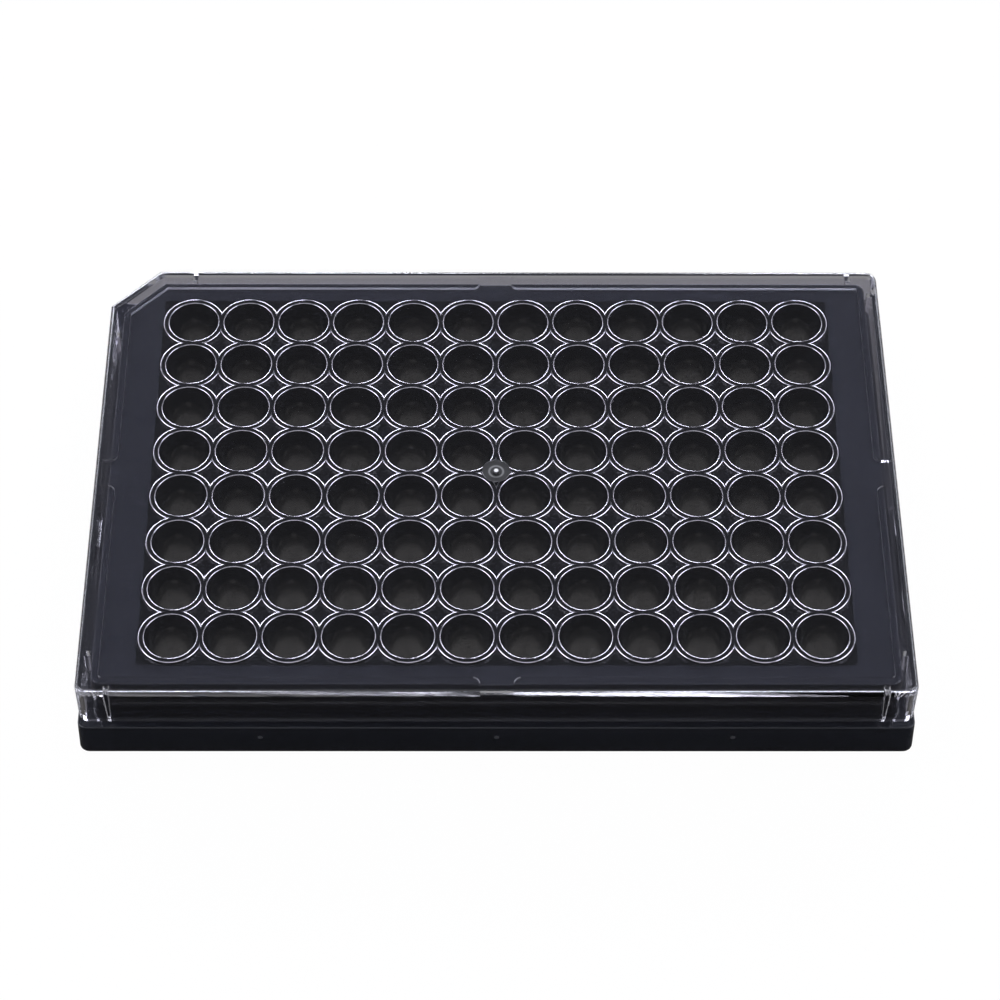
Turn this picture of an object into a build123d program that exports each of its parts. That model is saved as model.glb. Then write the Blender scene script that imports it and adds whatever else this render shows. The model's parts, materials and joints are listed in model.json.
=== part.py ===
from build123d import *
import math
import os

# A 96-well assay plate with its lid, in millimetres. Z is up, the plate stands on z = 0 with its
# middle at the origin, X runs along the columns 1 to 12 and +Y is the side of row A.

# The well array.
columns = 12
rows = 8
pitch = 9.0
ring_top = 14.35            # height of the rings round the well mouths
ring_outer_radius = 4.93    # neighbouring rings run into each other
ring_step = 0.5             # rings stand this much above the deck
mouth_radius = 4.05
floor_radius = 3.25
lip_chamfer = 0.12
well_depth = 11.0
well_wall_radius = 4.72     # outside of the well walls below the deck
core_roof_drop = 1.6        # plastic left above the star-shaped hollows under the deck

# The flange and the walls of the plate.
flange_length = 127.76
flange_width = 85.48
flange_radius = 1.6
flange_height = 6.1
flange_draft = 2.0          # degrees that its sides lean in, so that it leaves the mould
flange_edge = 0.35
plate_wall = 1.25
upper_wall_radius = 1.5
deck_thickness = 1.4
field_drop = 0.15           # the polished field round the rings lies a little below the deck
field_margin = 5.0          # from the outer well centres to the edge of that field
block_margin = 5.8          # from the outer well centres to the outside of the well block
gate_spacing = 36.0
gate_height = 3.8
gate_radius = 0.42
gate_depth = 0.12

# The clear bottom sheet.
sheet_thickness = 0.17
sheet_margin = 0.4          # the sheet stops this short of the well block's edge

# The lid.
lid_length = 126.6
lid_width = 84.7
lid_radius = 1.8
least_corner_radius = 0.5    # the lid's outline keeps this when it is moved inwards
corner_cut = 7.7            # the corner beside well A1 is cut off
lid_wall = 1.0
lid_panel = 1.05
lid_side_gap = 1.2          # from the lid's wall to the plate's upper wall
panel_gap = 0.1             # from the ring tops to the underside of the panel
skirt_bottom = 7.8
lid_edge_radius = 0.8
land_width = 2.35           # the land under the panel, from the inside of the lid's wall
vent_width = 5.1            # break in that land at the middle of each side
vent_radius = 1.2
rib_reach = 0.9
rib_top_width = 1.0
rib_foot_width = 0.5
rib_foot_gap = 0.2          # the ribs end this much above the skirt's lower edge
rib_from_corner = 4.7
rib_from_cut_corner = 13.4
rib_from_front_end = 7.8
gate_ring_radius = 2.2      # the moulding gate in the middle of the panel
gate_ring_depth = 0.3
gate_pip_radius = 0.65

# Heights and widths that follow from the sizes above.
deck_top = ring_top - ring_step
well_floor = ring_top - well_depth
panel_under = ring_top + panel_gap
lid_top = panel_under + lid_panel
body_inset = lid_wall + lid_side_gap
array_length = (columns - 1) * pitch
array_width = (rows - 1) * pitch

# Ribs inside the lid's skirt: the side they stand on, the end of that side they are measured
# from, and their distance from that end.
ribs = [
    ("front", "left", rib_from_corner),
    ("front", "right", rib_from_corner),
    ("rear", "right", rib_from_corner),
    ("right", "rear", rib_from_corner),
    ("rear", "left", rib_from_cut_corner),
    ("left", "rear", rib_from_cut_corner),
    ("right", "front", rib_from_front_end),
    ("left", "front", rib_from_front_end),
]


def cut_corner_outline(inset, least_radius=least_corner_radius, mode=Mode.ADD):
    """The lid's outline moved inwards: three round corners, and one cut off beside well A1."""
    length = lid_length - 2 * inset
    width = lid_width - 2 * inset
    radius = max(lid_radius - inset, least_radius)
    cut = corner_cut - (2 - math.sqrt(2)) * inset
    with BuildSketch(mode=Mode.PRIVATE) as outline:
        Rectangle(length, width)
        corners = outline.vertices()
        beside_a1 = corners.group_by(Axis.X)[0].sort_by(Axis.Y)[-1]
        chamfer(beside_a1, cut)
        square_corners = [v for v in outline.vertices() if abs(abs(v.X) - length / 2) < 1e-6
                          and abs(abs(v.Y) - width / 2) < 1e-6]
        fillet(square_corners, radius)
    add(outline.sketch, mode=mode)


def array_rectangle(margin, mode=Mode.ADD):
    """A rectangle that stands out from the outer well centres by the margin."""
    Rectangle(array_length + 2 * margin, array_width + 2 * margin, mode=mode)


def circles_at_wells(radius, mode=Mode.ADD):
    with GridLocations(pitch, pitch, columns, rows):
        Circle(radius, mode=mode)


def rib_plane(side, end, distance):
    """A plane on the inside of the lid's wall, facing the plate, at the underside of the panel."""
    half_length = lid_length / 2 - lid_wall
    half_width = lid_width / 2 - lid_wall
    along = lid_length if side in ("front", "rear") else lid_width
    place = along / 2 - distance
    if end in ("left", "front"):
        place = -place
    if side == "front":
        return Plane(origin=(place, -half_width, panel_under), x_dir=(-1, 0, 0), z_dir=(0, 1, 0))
    if side == "rear":
        return Plane(origin=(place, half_width, panel_under), x_dir=(1, 0, 0), z_dir=(0, -1, 0))
    if side == "right":
        return Plane(origin=(half_length, place, panel_under), x_dir=(0, -1, 0), z_dir=(-1, 0, 0))
    return Plane(origin=(-half_length, place, panel_under), x_dir=(0, 1, 0), z_dir=(1, 0, 0))


# Plate body: one black moulding, hollow underneath.
with BuildPart() as plate_body:
    with BuildSketch():
        RectangleRounded(flange_length, flange_width, flange_radius)
    extrude(amount=flange_height, taper=flange_draft)
    chamfer(plate_body.faces().sort_by(Axis.Z)[-1].edges(), flange_edge)
    with BuildSketch(Plane.XY.offset(flange_height)):
        cut_corner_outline(body_inset, upper_wall_radius)
    extrude(amount=deck_top - flange_height)

    # The hollow under the flange, then the one inside the upper wall.
    with BuildSketch():
        RectangleRounded(flange_length - 2 * plate_wall, flange_width - 2 * plate_wall,
                         flange_radius - plate_wall)
    extrude(amount=flange_height - plate_wall, mode=Mode.SUBTRACT)
    with BuildSketch(Plane.XY.offset(flange_height - plate_wall)):
        cut_corner_outline(body_inset + plate_wall)
    extrude(amount=deck_top - deck_thickness - flange_height + plate_wall, mode=Mode.SUBTRACT)

    # The well block hangs from the deck, inside the upper wall, and carries the bottom sheet.
    with BuildSketch(Plane.XY.offset(well_floor)):
        array_rectangle(block_margin)
        cut_corner_outline(body_inset, mode=Mode.INTERSECT)
    extrude(amount=deck_top - well_floor)

    # Rings round the mouths, inside the lid's land, and the polished field that they stand in.
    with BuildSketch(Plane.XY.offset(deck_top)):
        circles_at_wells(ring_outer_radius)
        cut_corner_outline(lid_wall + land_width + panel_gap, mode=Mode.INTERSECT)
    extrude(amount=ring_step)
    with BuildSketch(Plane.XY.offset(deck_top)):
        array_rectangle(field_margin)
        circles_at_wells(ring_outer_radius, mode=Mode.SUBTRACT)
    extrude(amount=-field_drop, mode=Mode.SUBTRACT)

    # Star-shaped hollows between the well walls, closed below by the bottom sheet.
    with BuildSketch(Plane.XY.offset(well_floor)):
        array_rectangle(block_margin - plate_wall)
        circles_at_wells(well_wall_radius, mode=Mode.SUBTRACT)
    extrude(amount=deck_top - core_roof_drop - well_floor, mode=Mode.SUBTRACT)

    # The wells taper to the bottom sheet and have a small lead-in at the mouth.
    with Locations((0, 0, well_floor)):
        with GridLocations(pitch, pitch, columns, rows):
            Cone(floor_radius, mouth_radius, well_depth,
                 align=(Align.CENTER, Align.CENTER, Align.MIN), mode=Mode.SUBTRACT)
    with Locations((0, 0, ring_top - lip_chamfer)):
        with GridLocations(pitch, pitch, columns, rows):
            Cone(mouth_radius, mouth_radius + lip_chamfer, lip_chamfer,
                 align=(Align.CENTER, Align.CENTER, Align.MIN), mode=Mode.SUBTRACT)

    # Three small gate marks in the front of the flange, which leans in by its draft.
    gate_lean = gate_height * math.tan(math.radians(flange_draft))
    with BuildSketch(Plane.XZ.offset(flange_width / 2 - gate_lean)):
        with Locations((-gate_spacing, gate_height), (0, gate_height), (gate_spacing, gate_height)):
            Circle(gate_radius)
    extrude(amount=-gate_depth, mode=Mode.SUBTRACT)

# Bottom sheet: thin clear glass bonded under the well block.
with BuildPart() as glass_bottom:
    with BuildSketch(Plane.XY.offset(well_floor - sheet_thickness)):
        array_rectangle(block_margin - sheet_margin)
        cut_corner_outline(body_inset + sheet_margin, mode=Mode.INTERSECT)
    extrude(amount=sheet_thickness)

# Lid: one clear moulding that rests on the deck by the land under its panel.
with BuildPart() as lid:
    with BuildSketch(Plane.XY.offset(skirt_bottom)):
        cut_corner_outline(0)
    extrude(amount=lid_top - skirt_bottom)
    fillet(lid.faces().sort_by(Axis.Z)[-1].edges(), lid_edge_radius)
    with BuildSketch(Plane.XY.offset(skirt_bottom)):
        cut_corner_outline(lid_wall)
    extrude(amount=panel_under - skirt_bottom, mode=Mode.SUBTRACT)

    # The land, broken by a vent in the middle of each side.
    with BuildSketch(Plane.XY.offset(deck_top)) as land:
        cut_corner_outline(lid_wall)
        cut_corner_outline(lid_wall + land_width, mode=Mode.SUBTRACT)
        Rectangle(vent_width, lid_width, mode=Mode.SUBTRACT)
        Rectangle(lid_length, vent_width, mode=Mode.SUBTRACT)
        inner_x = lid_length / 2 - lid_wall - land_width
        inner_y = lid_width / 2 - lid_wall - land_width
        vent_corners = [v for v in land.vertices()
                        if (abs(abs(v.X) - vent_width / 2) < 1e-6 and abs(abs(v.Y) - inner_y) < 1e-6)
                        or (abs(abs(v.Y) - vent_width / 2) < 1e-6 and abs(abs(v.X) - inner_x) < 1e-6)]
        fillet(vent_corners, vent_radius)
    extrude(amount=panel_under - deck_top)

    # Short ribs inside the skirt keep the lid centred on the plate.
    rib_height = panel_under - skirt_bottom - rib_foot_gap
    for side, end, distance in ribs:
        with BuildSketch(rib_plane(side, end, distance)):
            with BuildLine():
                Polyline((-rib_top_width / 2, 0), (rib_top_width / 2, 0),
                         (rib_foot_width / 2, -rib_height), (-rib_foot_width / 2, -rib_height),
                         close=True)
            make_face()
        extrude(amount=rib_reach)

    # The moulding gate: a shallow round dimple with a pip in its middle.
    with BuildSketch(Plane.XY.offset(lid_top)):
        Circle(gate_ring_radius)
        Circle(gate_pip_radius, mode=Mode.SUBTRACT)
    extrude(amount=-gate_ring_depth, mode=Mode.SUBTRACT)

os.makedirs("parts", exist_ok=True)
for name, piece in (("plate_body", plate_body), ("glass_bottom", glass_bottom), ("lid", lid)):
    piece.part.label = name
    export_step(piece.part, f"parts/{name}.step")
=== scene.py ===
# %% [markdown]
# # A black 96-well plate under its clear lid
#
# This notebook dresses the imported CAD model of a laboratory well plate. The CAD holds the true
# sizes: the plate, its clear bottom sheet and its lid. Here each piece gets the fine rounding of
# its moulded edges and a finish made of shader nodes. The sizes come from the CAD model's boxes
# wherever they can, so that everything stays in one frame, in metres.

# %% Load the frame
import json
import math

import bmesh
import bpy
from mathutils import Matrix, Vector

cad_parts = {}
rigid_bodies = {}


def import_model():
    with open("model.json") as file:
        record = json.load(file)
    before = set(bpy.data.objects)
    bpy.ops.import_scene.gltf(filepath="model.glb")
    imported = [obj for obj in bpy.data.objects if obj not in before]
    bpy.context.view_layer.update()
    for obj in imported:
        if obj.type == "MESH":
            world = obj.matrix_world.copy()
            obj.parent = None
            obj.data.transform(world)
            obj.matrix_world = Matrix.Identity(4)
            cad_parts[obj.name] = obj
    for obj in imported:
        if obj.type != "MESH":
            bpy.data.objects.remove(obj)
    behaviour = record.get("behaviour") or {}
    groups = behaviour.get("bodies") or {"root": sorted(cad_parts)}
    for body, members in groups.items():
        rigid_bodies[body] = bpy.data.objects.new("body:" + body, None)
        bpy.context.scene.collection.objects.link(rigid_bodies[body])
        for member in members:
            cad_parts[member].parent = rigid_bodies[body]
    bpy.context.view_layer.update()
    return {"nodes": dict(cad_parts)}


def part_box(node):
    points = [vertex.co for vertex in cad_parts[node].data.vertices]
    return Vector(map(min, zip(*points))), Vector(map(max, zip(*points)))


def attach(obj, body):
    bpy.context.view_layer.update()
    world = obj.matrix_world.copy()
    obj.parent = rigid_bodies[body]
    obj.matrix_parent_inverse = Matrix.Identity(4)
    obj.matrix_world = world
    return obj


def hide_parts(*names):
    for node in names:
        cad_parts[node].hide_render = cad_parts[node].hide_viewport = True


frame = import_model()

# %% [markdown]
# ## Sizes
#
# The boxes of the three CAD nodes give the main sizes. The sizes below them are those of the
# moulding itself: a well plate has its wells on a 9 mm pitch, and each mouth has a narrow ring.

# %% Sizes
MM = 0.001
plate_low, plate_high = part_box("plate_body")
sheet_low, sheet_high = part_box("glass_bottom")
lid_low, lid_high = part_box("lid")

columns, rows, pitch = 12, 8, 9 * MM
ring_top = plate_high.z
well_floor = sheet_high.z
ring_outer = 4.93 * MM
mouth_radius = 4.05 * MM
floor_radius = 3.25 * MM
well_wall = 4.72 * MM
deck_top = ring_top - 0.5 * MM
field_top = deck_top - 0.15 * MM
core_roof = deck_top - 1.6 * MM
deck_under = deck_top - 1.4 * MM
plate_wall = 1.25 * MM
field_margin = 5.0 * MM
block_margin = 5.8 * MM
flange_height = 6.1 * MM
flange_radius = 1.6 * MM
flange_lean = math.tan(math.radians(2))
lid_wall = 1.0 * MM
upper_wall_radius = 1.5 * MM
corner_cut = 7.7 * MM
body_inset = 2.2 * MM
array_half = Vector(((columns - 1) * pitch / 2, (rows - 1) * pitch / 2))
SAME_PLACE = 1e-7
print("ring tops at", round(ring_top / MM, 2), "mm, lid top at", round(lid_high.z / MM, 2), "mm")

# %% [markdown]
# ## Shader maths as Python
#
# A material is a tree of nodes. Writing `wear * 0.5 + grain` is easier to read than a dozen
# lines that add Math nodes and link them, so a small class wraps a socket and its operators add
# those nodes. Every other kind of node comes from one method, and the few kinds that this scene
# uses again and again have a short method of their own.


# %% A small language for shader nodes
class Wire:
    """An output socket whose operators add Math nodes."""

    def __init__(self, graph, socket):
        self.graph = graph
        self.socket = socket

    def maths(self, operation, *values):
        return self.graph.node("ShaderNodeMath", {"operation": operation}, dict(enumerate(values)))

    def __add__(self, other):
        return self.maths("ADD", self, other)

    def __sub__(self, other):
        return self.maths("SUBTRACT", self, other)

    def __rsub__(self, other):
        return self.maths("SUBTRACT", other, self)

    def __mul__(self, other):
        return self.maths("MULTIPLY", self, other)

    def __gt__(self, other):
        return self.maths("GREATER_THAN", self, other)

    def __abs__(self):
        return self.maths("ABSOLUTE", self)

    def fraction(self):
        return self.maths("FRACT", self)

    __radd__ = __add__
    __rmul__ = __mul__


class Graph:
    """A node tree that hands out wires."""

    def __init__(self, tree):
        self.tree = tree
        tree.nodes.clear()

    def node(self, kind, settings=None, values=None, output=0):
        made = self.tree.nodes.new(kind)
        for name, value in (settings or {}).items():
            setattr(made, name, value)
        for name, value in (values or {}).items():
            if isinstance(value, Wire):
                self.tree.links.new(value.socket, made.inputs[name])
            else:
                made.inputs[name].default_value = value
        return Wire(self, made.outputs[output]) if made.outputs else made

    def place(self):
        """The point on the surface, in the object's own metres."""
        return self.node("ShaderNodeTexCoord", output="Object")

    def parts(self, vector):
        """The x, y and z of a vector."""
        split = self.node("ShaderNodeSeparateXYZ", {}, {0: vector})
        return [Wire(self, part) for part in split.socket.node.outputs]

    def noise(self, place, scale, detail=2.0):
        return self.node("ShaderNodeTexNoise", {}, {"Vector": place, "Scale": scale, "Detail": detail})

    def blend(self, share, first, second):
        """A colour between two others."""
        return self.node("ShaderNodeMix", {"data_type": "RGBA"},
                         {0: share, 6: (*first, 1), 7: (*second, 1)}, output=2)

    def step(self, wire, low, high, first=0.0, last=1.0):
        """Goes smoothly from the first value to the last while the wire goes from low to high."""
        return self.node("ShaderNodeMapRange", {"interpolation_type": "SMOOTHSTEP"},
                         {"Value": wire, "From Min": low, "From Max": high,
                          "To Min": first, "To Max": last})

    def band(self, wire, foot, full, falling, end):
        """1 between full and falling, and 0 below the foot and past the end."""
        return self.step(wire, foot, full) * self.step(wire, falling, end, 1.0, 0.0)

    def ray(self, question):
        """What Light Path knows of the ray, such as Is Camera Ray or Glossy Depth."""
        return self.node("ShaderNodeLightPath", output=question)

    def mix(self, share, first, second):
        """A shader between two others."""
        return self.node("ShaderNodeMixShader", {}, {0: share, 1: first, 2: second})

    def surface(self, shader):
        self.node("ShaderNodeOutputMaterial", {}, {"Surface": shader})


def material(name):
    made = bpy.data.materials.new(name)
    made.use_nodes = True
    return made, Graph(made.node_tree)


# %% [markdown]
# ## Black polystyrene
#
# The plate is one moulding in black polystyrene, with two finishes from one steel mould. The
# rings, the wells and the field between them come from polished inserts, and the deck and the
# walls from a fine spark-eroded face. Both get a slightly blue black, lighter on the spark-eroded
# face. The polished finish has long, faint flow marks in its gloss, and the other a fine grain
# that feeds a Bump node.


# %% Black finishes
STYRENE_IOR = 1.59
FLOW_MARKS = 60.0
LIGHTER = 1.25


def black_plastic(name, colour, gloss, spread, grain_size, grain_height):
    made, graph = material(name)
    place = graph.place()
    flow = graph.noise(place, FLOW_MARKS, 3.0)
    grain = graph.noise(place, 1 / grain_size)
    shade = graph.blend(flow, colour, [c * LIGHTER for c in colour])
    relief = graph.node("ShaderNodeBump", {},
                        {"Strength": 1.0, "Distance": grain_height, "Height": grain})
    graph.surface(graph.node("ShaderNodeBsdfPrincipled", {},
                             {"Base Color": shade, "Roughness": gloss + (flow - 0.5) * spread,
                              "IOR": STYRENE_IOR, "Normal": relief}))
    return made


satin_black = black_plastic("satin_black", (0.013, 0.014, 0.018), gloss=0.16, spread=0.05,
                            grain_size=0.12 * MM, grain_height=0.004 * MM)
polished_black = black_plastic("polished_black", (0.005, 0.0052, 0.006), gloss=0.09, spread=0.04,
                               grain_size=0.5 * MM, grain_height=0.001 * MM)
print("black finishes", satin_black.name, polished_black.name)

# %% [markdown]
# ## The bright edges of the rings
#
# A polished edge only a fifth of a millimetre round gathers light from half the room, and on a
# black plate it shows as a bright line. A black plastic at this scale would need lamps far
# stronger than a plain room has, so the faces of those edges get a painted highlight instead: a
# near-white metal film in place of the black plastic, which mirrors the room as bright lines.


# %% Edge finish
EDGE_PATCHES = 220.0
DARKER = 0.8


def painted_highlight_film(name, colour, gloss, spread):
    made, graph = material(name)
    patch = graph.noise(graph.place(), EDGE_PATCHES)
    shade = graph.blend(patch, [c * DARKER for c in colour], colour)
    graph.surface(graph.node("ShaderNodeBsdfPrincipled", {},
                             {"Base Color": shade, "Roughness": gloss + patch * spread,
                              "Metallic": 1.0}))
    return made


# Painted highlight: the ring edges are black plastic, coloured here as a near-white metal so that they
# shine.
painted_edge_highlight = painted_highlight_film("painted_edge_highlight", (1.0, 0.98, 0.97), gloss=0.09, spread=0.06)
print("edge finish", painted_edge_highlight.name)

# %% [markdown]
# ## Clear polystyrene and glass
#
# The lid is clear polystyrene, which bends light more than glass does (an IOR of 1.59), so its
# thick edges gather the light of the room. Its closed mesh lets Cycles bend each ray on the way
# in and out. A shadow ray can't bend, so it passes straight through instead, and lamps still
# light what lies under the lid.
#
# Light that runs along inside a clear panel is mirrored many times, and real plastic takes a
# little of it on its long way. A volume would do that too, but it is slow and noisy in a sheet
# this thin. Here each mirroring after the second one mixes in a small share of black instead.
#
# The faces that come rough from a blasted mould, such as the sides of the land under the panel,
# get the same plastic with much less gloss and a near-black tint, which is painted shade on them.


# %% Clear finishes
SMEARS = 90.0
SHADOW_PASSES = 0.9
GUIDED = 2.5
GUIDED_LOSS = 0.035


def clear_plastic(name, tint, ior, haze, gloss=0.0):
    made, graph = material(name)
    smear = graph.noise(graph.place(), SMEARS)
    glass = graph.node("ShaderNodeBsdfPrincipled", {},
                       {"Base Color": (*tint, 1), "Roughness": gloss + smear * haze,
                        "IOR": ior, "Transmission Weight": 1.0})
    lost = graph.node("ShaderNodeEmission", {}, {"Strength": 0.0})
    lossy = graph.mix(GUIDED_LOSS * (graph.ray("Glossy Depth") > GUIDED), glass, lost)
    open_air = graph.node("ShaderNodeBsdfTransparent", {}, {"Color": (*[SHADOW_PASSES] * 3, 1)})
    graph.surface(graph.mix(graph.ray("Is Shadow Ray"), lossy, open_air))
    return made


clear_styrene = clear_plastic("clear_styrene", (0.955, 0.945, 1.0), STYRENE_IOR, haze=0.01)
# Painted shade: a near-black tint on clear plastic that makes these faces dark.
matte_painted_shade_styrene = clear_plastic("matte_painted_shade_styrene", (0.004, 0.004, 0.0045), STYRENE_IOR, haze=0.1, gloss=0.40)
bottom_glass = clear_plastic("bottom_glass", (0.95, 0.98, 0.97), 1.52, haze=0.01)
print("clear finishes", clear_styrene.name, matte_painted_shade_styrene.name, bottom_glass.name)

# %% [markdown]
# ## The mark of the lid's gate
#
# The plastic flowed into the lid's mould through a hole in the middle of its panel. The stub that
# was broken off there leaves a dimple. Its finish is opaque and paints the dimple's light and
# shade: painted shade inside, with a painted highlight as a pale spot in the middle and a faint
# pale ring round it. Both depend only on the distance from the middle, which Vector Math gives.

# %% Gate finish
painted_gate_dimple, graph = material("painted_gate_dimple")
flat = graph.node("ShaderNodeVectorMath", {"operation": "MULTIPLY"}, {0: graph.place(), 1: (1, 1, 0)})
from_middle = graph.node("ShaderNodeVectorMath", {"operation": "LENGTH"}, {0: flat}, output="Value")
# Painted highlight: a pale spot on the pip and a faint pale ring, over painted shade that fills the rest
# of the dimple.
painted_spot_highlight = graph.step(from_middle, 0.20 * MM, 0.45 * MM, 0.85, 0.015)
painted_ring_highlight = 0.14 * graph.band(from_middle, 0.85 * MM, 1.05 * MM, 1.15 * MM, 1.35 * MM)
painted_gate_light = graph.blend(painted_spot_highlight + painted_ring_highlight, (0, 0, 0), (1, 1, 1))
graph.surface(graph.node("ShaderNodeBsdfPrincipled", {},
                         {"Base Color": painted_gate_light, "Roughness": 0.35, "IOR": STYRENE_IOR}))
print("gate finish", painted_gate_dimple.name)

# %% [markdown]
# ## One well, and the strip round it
#
# Each well is the same turned shape: a tapering wall, a rounded lip, a narrow flat ring, and the
# ring's rounded outer edge. The rings are wider than the pitch, so neighbours run into each
# other. That is easy to build if a well is cut to its own square of the plate: its height depends
# only on the distance from its centre, and so both sides of a cut always meet. The wells at the
# edges of the array reach a little further, so there are nine kinds of square.

# %% The turned profiles of a well
SPOKES = 48
CORNERS = (6, 18, 30, 42)


def arc(centre_r, centre_z, radius, start, stop, steps):
    turns = [math.radians(start + (stop - start) * k / steps) for k in range(steps + 1)]
    return [(centre_r + radius * math.cos(t), centre_z + radius * math.sin(t)) for t in turns]


def soft_edge(radius, z, way, wide, tight=0.05 * MM):
    """A rounded edge that leaves the flat top slowly: a wide arc to 30 degrees, then a tight one."""
    middle = radius - way * (wide + tight) / 2
    points = []
    for degrees in (0, 10, 20, 30):
        turn = math.radians(degrees)
        points.append((middle + way * wide * math.sin(turn), z - wide * (1 - math.cos(turn))))
    drop = points[-1][1] - tight * math.cos(turn)
    for degrees in (50, 70, 90):
        turn = math.radians(degrees)
        points.append((radius - way * tight * (1 - math.sin(turn)), drop + tight * math.cos(turn)))
    return points


root = 0.1 * MM
POLISHED, PAINTED_HIGHLIGHT, SATIN = 0, 1, 2
upper_profile = [(floor_radius, well_floor)]
upper_profile += reversed(soft_edge(mouth_radius, ring_top, way=-1, wide=0.26 * MM))
upper_profile += soft_edge(ring_outer, ring_top, way=1, wide=0.34 * MM)
upper_profile += arc(ring_outer + root, field_top + root, root, 180, 270, 2)
# The bands of the rounded lip and outer edge get the painted highlight finish.
upper_bands = [POLISHED] + [PAINTED_HIGHLIGHT] * 6 + [POLISHED] + [PAINTED_HIGHLIGHT] * 6 + [POLISHED] * 4
lower_profile = [(floor_radius, well_floor), (well_wall, well_floor), (well_wall, core_roof)]
print("points in a well's upper profile", len(upper_profile))


# %% A square with its well
def height_at(profile, radius):
    for (r0, z0), (r1, z1) in zip(profile, profile[1:]):
        if r0 <= radius <= r1 and r1 > r0:
            return z0 + (z1 - z0) * (radius - r0) / (r1 - r0)
    return profile[-1][1]


def edge_point(spoke, reach):
    """Where a spoke leaves the square. The reach is that to the left, right, front and rear."""
    left, right, front, rear = reach
    turn = 2 * math.pi * spoke / SPOKES
    x, y = math.cos(turn), math.sin(turn)
    across = right if x > 0 else left
    along = rear if y > 0 else front
    if spoke in CORNERS:
        return Vector((math.copysign(across, x), math.copysign(along, y)))
    scale = min(across / max(abs(x), 1e-9), along / max(abs(y), 1e-9))
    return Vector((x * scale, y * scale))


def spoke_points(spoke, profile, reach):
    limit = edge_point(spoke, reach)
    turn = 2 * math.pi * spoke / SPOKES
    ray = Vector((math.cos(turn), math.sin(turn)))
    points = []
    for radius, z in profile:
        if radius < limit.length:
            points.append((*(ray * radius), z))
        else:
            points.append((*limit, height_at(profile, limit.length)))
    points.append((*limit, height_at(profile, limit.length)))
    return points


def add_skin(mesh, loops, finishes):
    """Bridges each loop of points to the next with quads, and marks each band's finish."""
    mark = mesh.faces.layers.int.get("finish") or mesh.faces.layers.int.new("finish")
    rings = [[mesh.verts.new(p) for p in loop] for loop in loops]
    count = len(rings[0])
    for low, high, finish in zip(rings, rings[1:], finishes):
        for k in range(count):
            n = (k + 1) % count
            face = mesh.faces.new((low[k], low[n], high[n], high[k]))
            face[mark] = finish
            face.smooth = True


def square_mesh(name, upper_reach, lower_reach, outer_sides):
    mesh = bmesh.new()
    spokes = [spoke_points(s, upper_profile, upper_reach) for s in range(SPOKES)]
    add_skin(mesh, list(zip(*spokes)), upper_bands)
    spokes = [spoke_points(s, lower_profile, lower_reach) for s in range(SPOKES)]
    for points in spokes:
        x, y, _ = points[-1]
        on_rim = any(outer and way >= reach - SAME_PLACE
                     for way, outer, reach in zip((-x, x, -y, y), outer_sides, lower_reach))
        points.append((x, y, well_floor) if on_rim else points[-1])
    add_skin(mesh, [list(reversed(loop)) for loop in zip(*spokes)], [SATIN] * 4)
    bmesh.ops.remove_doubles(mesh, verts=mesh.verts, dist=SAME_PLACE)
    made = bpy.data.meshes.new(name)
    mesh.to_mesh(made)
    mesh.free()
    return bpy.data.objects.new(name, made)


squares = bpy.data.collections.new("squares")
for kind in range(9):
    sides = (kind // 3 == 0, kind // 3 == 2, kind % 3 == 0, kind % 3 == 2)
    upper = [field_margin if outer else pitch / 2 for outer in sides]
    lower = [block_margin - plate_wall if outer else pitch / 2 for outer in sides]
    squares.objects.link(square_mesh(f"square_{kind}", upper, lower, sides))

# %% [markdown]
# ## The array of wells
#
# Geometry Nodes repeat the squares. A Mesh Grid has one point for each well, and its point
# number gives the column and the row, from which a little maths picks the kind of square. The
# tree ends in real geometry, because instances are dropped when the model is exported.


# %% A helper for node groups of geometry
class Tree:
    def __init__(self, name):
        self.group = bpy.data.node_groups.new(name, "GeometryNodeTree")
        self.sockets = {}
        self.group.interface.new_socket("Geometry", in_out="OUTPUT", socket_type="NodeSocketGeometry")
        self.inputs = None

    def takes(self, **kinds):
        for label, kind in kinds.items():
            socket = self.group.interface.new_socket(label, in_out="INPUT",
                                                     socket_type="NodeSocket" + kind)
            self.sockets[label] = socket.identifier
        self.inputs = self.group.nodes.new("NodeGroupInput")

    def given(self, label):
        return self.inputs.outputs[label]

    def node(self, kind, settings=None, values=None, output=0):
        made = self.group.nodes.new(kind)
        for name, value in (settings or {}).items():
            setattr(made, name, value)
        for name, value in (values or {}).items():
            if isinstance(value, bpy.types.NodeSocket):
                self.group.links.new(value, made.inputs[name])
            else:
                made.inputs[name].default_value = value
        return made.outputs[output]

    def maths(self, operation, *values):
        return self.node("ShaderNodeMath", {"operation": operation}, dict(enumerate(values)))

    def result(self, socket):
        last = self.group.nodes.new("NodeGroupOutput")
        self.group.links.new(socket, last.inputs[0])

    def bake(self, name, **values):
        """Runs the tree on an empty mesh and gives its result as a plain mesh object."""
        host = bpy.data.objects.new(name, bpy.data.meshes.new(name + "_host"))
        bpy.context.scene.collection.objects.link(host)
        modifier = host.modifiers.new("nodes", "NODES")
        modifier.node_group = self.group
        for label, value in values.items():
            modifier[self.sockets[label]] = value
        seen = host.evaluated_get(bpy.context.evaluated_depsgraph_get())
        plain = bpy.data.meshes.new_from_object(seen)
        host.modifiers.clear()
        host.data = plain
        return host


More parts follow.
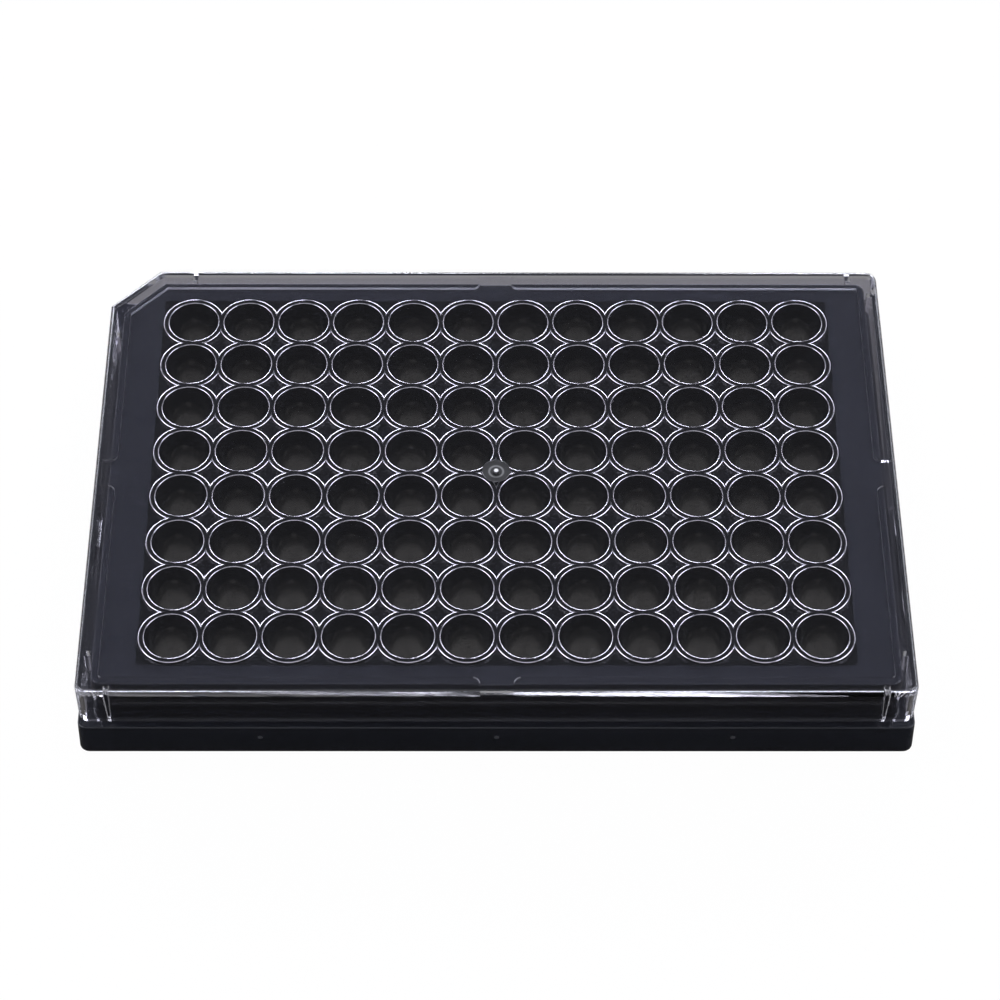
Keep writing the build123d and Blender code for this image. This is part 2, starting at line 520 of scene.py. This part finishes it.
# %% Repeat the squares
array_tree = Tree("well_array")
array_tree.takes(Columns="Int", Rows="Int", Pitch="Float", Squares="Collection")
last_column = array_tree.maths("SUBTRACT", array_tree.given("Columns"), 1.0)
last_row = array_tree.maths("SUBTRACT", array_tree.given("Rows"), 1.0)
grid = array_tree.node("GeometryNodeMeshGrid", {}, {
    "Size X": array_tree.maths("MULTIPLY", last_column, array_tree.given("Pitch")),
    "Size Y": array_tree.maths("MULTIPLY", last_row, array_tree.given("Pitch")),
    "Vertices X": array_tree.given("Columns"), "Vertices Y": array_tree.given("Rows")})
number = array_tree.node("GeometryNodeInputIndex")
column = array_tree.maths("FLOOR", array_tree.maths("DIVIDE", number, array_tree.given("Rows")))
row = array_tree.maths("SUBTRACT", number,
                       array_tree.maths("MULTIPLY", column, array_tree.given("Rows")))


def third(place, last):
    """0 at the first place, 2 at the last one and 1 between them."""
    after_first = array_tree.maths("GREATER_THAN", place, 0.5)
    at_last = array_tree.maths("GREATER_THAN", place, array_tree.maths("SUBTRACT", last, 0.5))
    return array_tree.maths("ADD", after_first, at_last)


kind = array_tree.maths("MULTIPLY_ADD", third(column, last_column), 3.0, third(row, last_row))
choices = array_tree.node("GeometryNodeCollectionInfo", {"transform_space": "ORIGINAL"}, {
    "Collection": array_tree.given("Squares"), "Separate Children": True, "Reset Children": True})
placed = array_tree.node("GeometryNodeInstanceOnPoints", {}, {
    "Points": grid, "Instance": choices, "Pick Instance": True,
    "Instance Index": array_tree.node("FunctionNodeFloatToInt", {"rounding_mode": "ROUND"}, {0: kind})})
real = array_tree.node("GeometryNodeRealizeInstances", {}, {0: placed})
welded = array_tree.node("GeometryNodeMergeByDistance", {}, {"Geometry": real, "Distance": 0.5e-6})
coated = array_tree.node("GeometryNodeSetMaterial", {},
                         {"Geometry": welded, "Material": polished_black})
mark = array_tree.node("GeometryNodeInputNamedAttribute", {"data_type": "INT"}, {"Name": "finish"})
# The rounded edges get the painted highlight, and the deck and walls the satin black.
for finish, coat in ((PAINTED_HIGHLIGHT, painted_edge_highlight), (SATIN, satin_black)):
    chosen = array_tree.node("FunctionNodeCompare", {"data_type": "INT", "operation": "EQUAL"},
                             {2: mark, 3: finish})
    coated = array_tree.node("GeometryNodeSetMaterial", {},
                             {"Geometry": coated, "Selection": chosen, "Material": coat})
array_tree.result(coated)
plate = array_tree.bake("moulded_plate", Columns=columns, Rows=rows, Pitch=pitch, Squares=squares)
for square in list(squares.objects):
    bpy.data.objects.remove(square)
bpy.data.collections.remove(squares)
print("array of wells:", len(plate.data.polygons), "faces")

# %% [markdown]
# ## Deck, walls and flange
#
# The rest of the plate is a skin drawn round the array: loops of points, each at its own inset
# and height, bridged one to the next. All loops have the same number of points, and those on
# the plate's upper wall have one corner cut off, beside well A1. The deck stops a hair below the
# lid, because faces of glass and black plastic in one place would flicker.

# %% Outlines
ARC_STEPS = 8
EDGE_STEPS = 4
LEAST_RADIUS = 0.3 * MM
SHARP = 0.02 * MM


def outline(half_length, half_width, radius, cut, z):
    """Points anticlockwise from the front right corner. The rear left one is cut if cut > 0."""
    points = []
    for number, (sx, sy) in enumerate(((1, -1), (1, 1), (-1, 1), (-1, -1))):
        start = math.radians(-90 + 90 * number)
        for k in range(ARC_STEPS + 1):
            if number == 2 and cut > 0:
                share = k / ARC_STEPS
                points.append((-half_length + cut * (1 - share), half_width - cut * share, z))
            else:
                turn = start + math.pi / 2 * k / ARC_STEPS
                points.append((sx * (half_length - radius) + radius * math.cos(turn),
                               sy * (half_width - radius) + radius * math.sin(turn), z))
    return points


def wall_outline(inset, z):
    """The plate's upper wall follows the lid's outline, moved inwards."""
    half_length = (lid_high.x - lid_low.x) / 2 - inset
    half_width = (lid_high.y - lid_low.y) / 2 - inset
    cut = corner_cut - (2 - math.sqrt(2)) * inset
    return outline(half_length, half_width, upper_wall_radius, cut, z)


def flange_outline(inset, z):
    """The flange leans in a little as it rises."""
    inset += flange_lean * z
    half_length = (plate_high.x - plate_low.x) / 2 - inset
    half_width = (plate_high.y - plate_low.y) / 2 - inset
    return outline(half_length, half_width, max(flange_radius - inset, LEAST_RADIUS), 0, z)


def array_outline(margin, z):
    return outline(array_half.x + margin, array_half.y + margin, SHARP, 0, z)


def rounded(shape, inset, z, radius, start, stop):
    """Loops round an edge: the arc's centre is at the inset and height, seen in section."""
    return [shape(i, h) for i, h in arc(inset, z, radius, start, stop, EDGE_STEPS)]


print("points in each outline", len(array_outline(field_margin, field_top)))

# %% Skin of the plate
edge = 0.25 * MM
foot = 0.2 * MM
field_bevel = 0.05 * MM
air_gap = 0.03 * MM
deck = deck_top - air_gap
outside = [array_outline(field_margin, field_top), array_outline(field_margin, deck - field_bevel)]
outside += [array_outline(field_margin + field_bevel, deck)]
outside += rounded(wall_outline, body_inset + edge, deck - edge, edge, 90, 180)
outside += [wall_outline(body_inset, flange_height + edge)]
outside += rounded(wall_outline, body_inset - edge, flange_height + edge, edge, 0, -90)
outside += rounded(flange_outline, edge, flange_height - edge, edge, 90, 180)
outside += rounded(flange_outline, foot, foot, foot, 180, 270)
outside += rounded(flange_outline, plate_wall - foot, foot, foot, 270, 360)
outside += [flange_outline(plate_wall, flange_height - plate_wall)]
outside += [wall_outline(body_inset + plate_wall, flange_height - plate_wall)]
outside += [wall_outline(body_inset + plate_wall, deck_under)]
outside += [array_outline(block_margin, deck_under), array_outline(block_margin, well_floor)]
outside += [array_outline(block_margin - plate_wall, well_floor)]
skin = bmesh.new()
add_skin(skin, outside, [SATIN] * len(outside))
bmesh.ops.remove_doubles(skin, verts=skin.verts, dist=SAME_PLACE)
bmesh.ops.recalc_face_normals(skin, faces=skin.faces)
print("skin of the plate:", len(skin.faces), "faces")

# %% Join the skin to the array
finishes = list(plate.data.materials)
for face in skin.faces:
    face.material_index = finishes.index(satin_black)
skin.from_mesh(plate.data)
for face in skin.faces:
    face.smooth = True
skin.to_mesh(plate.data)
skin.free()
weighting = plate.modifiers.new("weights", "WEIGHTED_NORMAL")
weighting.weight = 80
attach(plate, "root")
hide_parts("plate_body")
print("plate:", len(plate.data.polygons), "faces")

# %% [markdown]
# ## Row letters and gate marks
#
# The deck carries a raised letter beside each row, and the front of the flange has three small
# round marks where the plastic flowed in.

# %% A helper for small pieces of the plate
def add_trim(name, mesh, coat):
    made = bpy.data.meshes.new(name)
    mesh.to_mesh(made)
    mesh.free()
    made.materials.append(coat)
    piece = bpy.data.objects.new(name, made)
    bpy.context.scene.collection.objects.link(piece)
    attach(piece, "root")
    print(name, len(made.polygons), "faces")


# %% Row letters
letter_size, letter_depth, letter_thinning = 6.6 * MM, 0.05 * MM, -0.05 * MM
letter_x = -57.7 * MM
letter_z = deck + 0.03 * MM
letters = bmesh.new()
for row_number in range(rows):
    text = bpy.data.curves.new("letter", "FONT")
    text.body = "ABCDEFGH"[row_number]
    text.size, text.extrude, text.offset = letter_size, letter_depth, letter_thinning
    text.align_x, text.align_y = "CENTER", "CENTER"
    host = bpy.data.objects.new("letter", text)
    bpy.context.scene.collection.objects.link(host)
    seen = host.evaluated_get(bpy.context.evaluated_depsgraph_get())
    shape = bpy.data.meshes.new_from_object(seen)
    bpy.data.objects.remove(host)
    shape.transform(Matrix.Translation((letter_x, array_half.y - row_number * pitch, letter_z)))
    letters.from_mesh(shape)
add_trim("row_letters", letters, satin_black)

# %% Gate marks
mark_height, mark_spacing = 3.8 * MM, 36 * MM
mark_radius, mark_rim, mark_depth = 0.42 * MM, 0.34 * MM, 0.1 * MM
marks = bmesh.new()
facing_front = Matrix.Rotation(math.pi / 2, 4, "X")
for x in (-mark_spacing, 0, mark_spacing):
    place = Matrix.Translation((x, plate_low.y + flange_lean * mark_height, mark_height))
    bmesh.ops.create_cone(marks, cap_ends=True, segments=24, radius1=mark_radius, radius2=mark_rim,
                          depth=mark_depth, matrix=place @ facing_front)
gate_scar = black_plastic("gate_scar", (0.05, 0.05, 0.055), gloss=0.45, spread=0.1,
                          grain_size=0.2 * MM, grain_height=0.03 * MM)
add_trim("gate_marks", marks, gate_scar)

# %% [markdown]
# ## The lid
#
# The CAD lid already has its true form: panel, skirt, land, vents, ribs and gate. Its mesh is
# loose triangles, which shade flat, so a merged copy stands in for it with smooth shading over
# its rounded edges only. The ribs are thin, and their sharp corners would glint like cut glass,
# so the copy gets a small bevel there.

# %% Lid from the CAD mesh
lid = bpy.data.objects.new("clear_lid", frame["nodes"]["lid"].data.copy())
bpy.context.scene.collection.objects.link(lid)
mesh = bmesh.new()
mesh.from_mesh(lid.data)
bmesh.ops.remove_doubles(mesh, verts=mesh.verts, dist=1e-6)
bmesh.ops.dissolve_limit(mesh, angle_limit=math.radians(0.5), verts=mesh.verts, edges=mesh.edges)
lid_half = (lid_high - lid_low) / 2
print("merged lid:", len(mesh.faces), "faces")


def off_the_wall(vertex):
    """How far a vertex stands in from the lid's side walls."""
    return min(lid_half.x - abs(vertex.co.x), lid_half.y - abs(vertex.co.y)) - lid_wall


# %% Bevels on the ribs
rib_bevel = 0.22 * MM
smooth_below = math.radians(32)


def is_rib_edge(line):
    on_rib = all(0.5 * MM < off_the_wall(v) < 1.2 * MM and v.co.z < deck_top + 0.1 * MM
                 for v in line.verts)
    return on_rib and any(v.co.z < deck_top - 1 * MM for v in line.verts)


rib_edges = [line for line in mesh.edges if is_rib_edge(line)]
bmesh.ops.bevel(mesh, geom=rib_edges, offset=rib_bevel, segments=3, profile=0.5, affect="EDGES")
for face in mesh.faces:
    face.smooth = True
for line in mesh.edges:
    line.smooth = len(line.link_faces) == 2 and line.calc_face_angle() < smooth_below
print("rib edges", len(rib_edges))

# %% [markdown]
# ## Finishes on the lid
#
# Three finishes share the lid. Each face is sorted by where it lies: the upright sides of the
# land are blasted rough and tinted with painted shade, apart from the one that looks to the front,
# and so are the sides of the gate's dimple. The dimple's floor and the top of its pip get the gate
# finish, with its painted shade and highlights. The rest is clear.

# %% Sort the lid's faces
CLEAR, SHADED_MATTE, GATE = 0, 1, 2
land_height = 0.6 * MM
dimple_radius, dimple_depth = 2.3 * MM, 0.32 * MM
pip_face = 2e-6


def finish_of(face):
    middle = face.calc_center_median()
    upright = abs(face.normal.z) < 0.3
    if Vector((middle.x, middle.y)).length < dimple_radius and middle.z > lid_high.z - dimple_depth:
        on_top = middle.z > lid_high.z - 0.01 * MM
        if upright:
            return SHADED_MATTE
        return GATE if not on_top or face.calc_area() < pip_face else CLEAR
    in_front = face.normal.y > 0.99 and middle.y < 0
    on_land = deck_top < middle.z < deck_top + land_height and off_the_wall(face.verts[0]) > 0.5 * MM
    return SHADED_MATTE if upright and on_land and not in_front else CLEAR


for face in mesh.faces:
    face.material_index = finish_of(face)
for name, finish in (("clear", CLEAR), ("matte", SHADED_MATTE), ("gate", GATE)):
    print(name, sum(face.material_index == finish for face in mesh.faces), "faces")
lid.data.materials.clear()
for coat in (clear_styrene, matte_painted_shade_styrene, painted_gate_dimple):
    lid.data.materials.append(coat)
mesh.to_mesh(lid.data)
mesh.free()
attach(lid, "root")
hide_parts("lid")

# %% [markdown]
# ## The bottom sheet
#
# The thin glass under the wells is a plain flat sheet, so the CAD node stays as it is and only
# gets its finish.

# %% Bottom sheet
sheet = frame["nodes"]["glass_bottom"]
sheet.data.materials.clear()
sheet.data.materials.append(bottom_glass)
print("sheet", round((sheet_high.z - sheet_low.z) / MM, 2), "mm thick")

# %% [markdown]
# ## The floor
#
# To the camera the floor is white paper that still takes the plate's shadow. A clear lid and a
# black gloss plate also mirror and bend that white, and on a real table much less of it comes
# back: the plate stands on it and shades it. Light Path tells the floor how a ray came to it:
#
# - a ray that was mirrored once meets a dark floor, with a painted pool of light below each well
#   that lights the well from below, painted shade between the wells under the plate, and a plain
#   grey outside the plate,
# - a ray that came through clear plastic meets a quarter of the white,
# - a ray that ran along inside the lid meets a little more than that.

# %% Floor
FLOOR_REACH = 3.0
corners = [(-1, -1), (1, -1), (1, 1), (-1, 1)]
floor_mesh = bpy.data.meshes.new("floor")
floor_mesh.from_pydata([(x * FLOOR_REACH, y * FLOOR_REACH, 0) for x, y in corners], [], [(0, 1, 2, 3)])
floor = bpy.data.objects.new("floor", floor_mesh)
bpy.context.scene.collection.objects.link(floor)
print("floor", 2 * FLOOR_REACH, "m wide")

# %% What a mirrored ray meets
paper, graph = material("paper")
across, depth, _ = graph.parts(graph.place())


def from_well(wire):
    """The distance to the nearest well centre along one axis."""
    return ((wire * (1 / pitch)).fraction() - 0.5) * pitch


dx, dy = from_well(across), from_well(depth)
# Painted light: a pool of emission below each well, and painted shade between the wells, seen only by
# mirrored rays.
painted_light_pool = graph.step(dx * dx + dy * dy, (1.0 * MM) ** 2, (4.5 * MM) ** 2, 0.45, 0.07)
under_plate = (graph.step(abs(across), 55 * MM, 60 * MM, 1.0, 0.0)
               * graph.step(abs(depth), 37 * MM, 41 * MM, 1.0, 0.0))
painted_light_pool = under_plate * painted_light_pool + (1 - under_plate) * 0.10
behind_the_front = graph.step(depth, -45 * MM, -38 * MM, 0.02, 1.0)
mirrored = graph.node("ShaderNodeEmission", {}, {"Color": (1, 0.95, 0.9, 1),
                                                 "Strength": behind_the_front * painted_light_pool + 0.015})

# %% What the camera and the rays in the lid meet
through_loss = 0.75
guided_gain = 0.1
camera_share = 0.98
is_camera, is_through = graph.ray("Is Camera Ray"), graph.ray("Is Transmission Ray")
mirrorings = graph.ray("Glossy Depth")
white = graph.node("ShaderNodeBsdfDiffuse", {}, {"Color": (0.95, 0.95, 0.95, 1)})
brightness = 1.0 - is_through * through_loss + (mirrorings > GUIDED) * guided_gain
glow = graph.node("ShaderNodeEmission", {}, {"Color": (1, 1, 1, 1), "Strength": brightness})
shown = graph.mix(is_camera * camera_share + is_through, white, glow)
mirrored_once = mirrorings.maths("COMPARE", mirrorings, 1.0, 0.5)
graph.surface(graph.mix(mirrored_once, shown, mirrored))
floor_mesh.materials.append(paper)
print("paper nodes", len(paper.node_tree.nodes))

# %% [markdown]
# ## The room
#
# A black gloss plate shows the room more than its own colour, so the room is drawn with care. It
# is dim where the flat deck looks, high up behind, and brighter in a low band near the horizon.
# Two bright windows stand low at the rear and one hangs high at each side. The rounded edges of
# the rings mirror these as thin bright lines. A direction is three numbers: `right`, `back` and
# `up` run from -1 to 1, and `up` is 0 at the horizon.
#
# The camera itself sees a plain white, which comes from Is Camera Ray and lights nothing.

# %% Room
world = bpy.data.worlds.new("room")
bpy.context.scene.world = world
world.use_nodes = True
graph = Graph(world.node_tree)
direction = graph.node("ShaderNodeTexCoord", output="Generated")
right, back, up = graph.parts(direction)
sideways = abs(right)
behind = graph.step(back, -0.55, 0.15)
off_centre = graph.step(sideways, 0.02, 0.10)
side_way, mirror_way = (0.52, 0.09, 0.85), (0.0, math.cos(math.radians(52)), math.sin(math.radians(52)))

# %% Its lights
ambient = 0.10 + 0.05 * behind
low_band = off_centre * graph.band(up, 0.0, 0.08, 0.40, 0.62) * behind
centre_band = (1 - off_centre) * graph.band(up, 0.0, 0.06, 0.24, 0.34) * behind
rear_windows = (graph.band(sideways, 0.02, 0.10, 0.35, 0.60) * graph.band(up, 0.04, 0.14, 0.34, 0.48)
                * graph.step(back, 0.5, 0.7))
towards_side = sideways * side_way[0] + back * side_way[1] + up * side_way[2]
side_windows = graph.step(towards_side, 0.95, 0.985)
overhead = graph.step(up, 0.92, 0.99)
room_light = (ambient + 2.9 * low_band + 2.4 * centre_band + 16.0 * rear_windows
              + 3.6 * side_windows + 0.3 * overhead)

# %% Where the deck looks, and what the camera sees
towards_mirror = graph.node("ShaderNodeVectorMath", {"operation": "DOT_PRODUCT"},
                            {0: direction, 1: mirror_way}, output="Value")
dim = graph.step(towards_mirror, 0.90, 0.97, 1.0, 0.6)
is_camera = graph.ray("Is Camera Ray")
sky = graph.node("ShaderNodeBackground", {},
                 {"Color": graph.blend(is_camera, (0.88, 0.9, 1), (1, 1, 1)),
                  "Strength": is_camera + (1 - is_camera) * dim * room_light})
graph.node("ShaderNodeOutputWorld", {}, {"Surface": sky})
print("room nodes", len(world.node_tree.nodes))


# %% [markdown]
# ## Lamp and camera
#
# One weak softbox above the front gives the deck its soft shade. The camera stands a little left
# of the middle, about half a metre away and 52 degrees above the table, with a long lens.

# %% Lamp
def softbox(name, place, width, height, power):
    """A rectangular lamp that faces the origin."""
    data = bpy.data.lights.new(name, "AREA")
    data.shape = "RECTANGLE"
    data.size, data.size_y, data.energy = width, height, power
    lamp = bpy.data.objects.new(name, data)
    bpy.context.scene.collection.objects.link(lamp)
    turned = Vector(place).normalized().to_track_quat("Z", "Y").to_matrix().to_4x4()
    lamp.matrix_world = Matrix.Translation(place) @ turned
    print(name, power, "W")


softbox("top_light", (0, -0.35, 1.0), width=0.7, height=0.5, power=0.7)

# %% Camera
camera_data = bpy.data.cameras.new("camera")
camera_data.sensor_width = 36
camera_data.lens = 110.4
camera_data.clip_start, camera_data.clip_end = 0.01, 20
camera = bpy.data.objects.new("camera", camera_data)
bpy.context.scene.collection.objects.link(camera)
bpy.context.scene.camera = camera
eye = Vector((-2.90, -300.11, 395.27)) * MM
aim = Vector((0.63, -1.68, 10.02)) * MM
roll = math.radians(0.58)
facing = (aim - eye).to_track_quat("-Z", "Y").to_matrix().to_4x4()
camera.matrix_world = Matrix.Translation(eye) @ facing @ Matrix.Rotation(roll, 4, "Z")
print("camera", round((aim - eye).length / MM), "mm from its aim")

# %% [markdown]
# ## View and bounces
#
# The Standard view shows a colour as it is written. Light that runs along inside the lid needs
# many bounces, or its edges turn black.

# %% View and bounces
bpy.context.scene.view_settings.view_transform = "Standard"
cycles = bpy.context.scene.cycles
cycles.max_bounces, cycles.glossy_bounces, cycles.transmission_bounces = 72, 64, 32
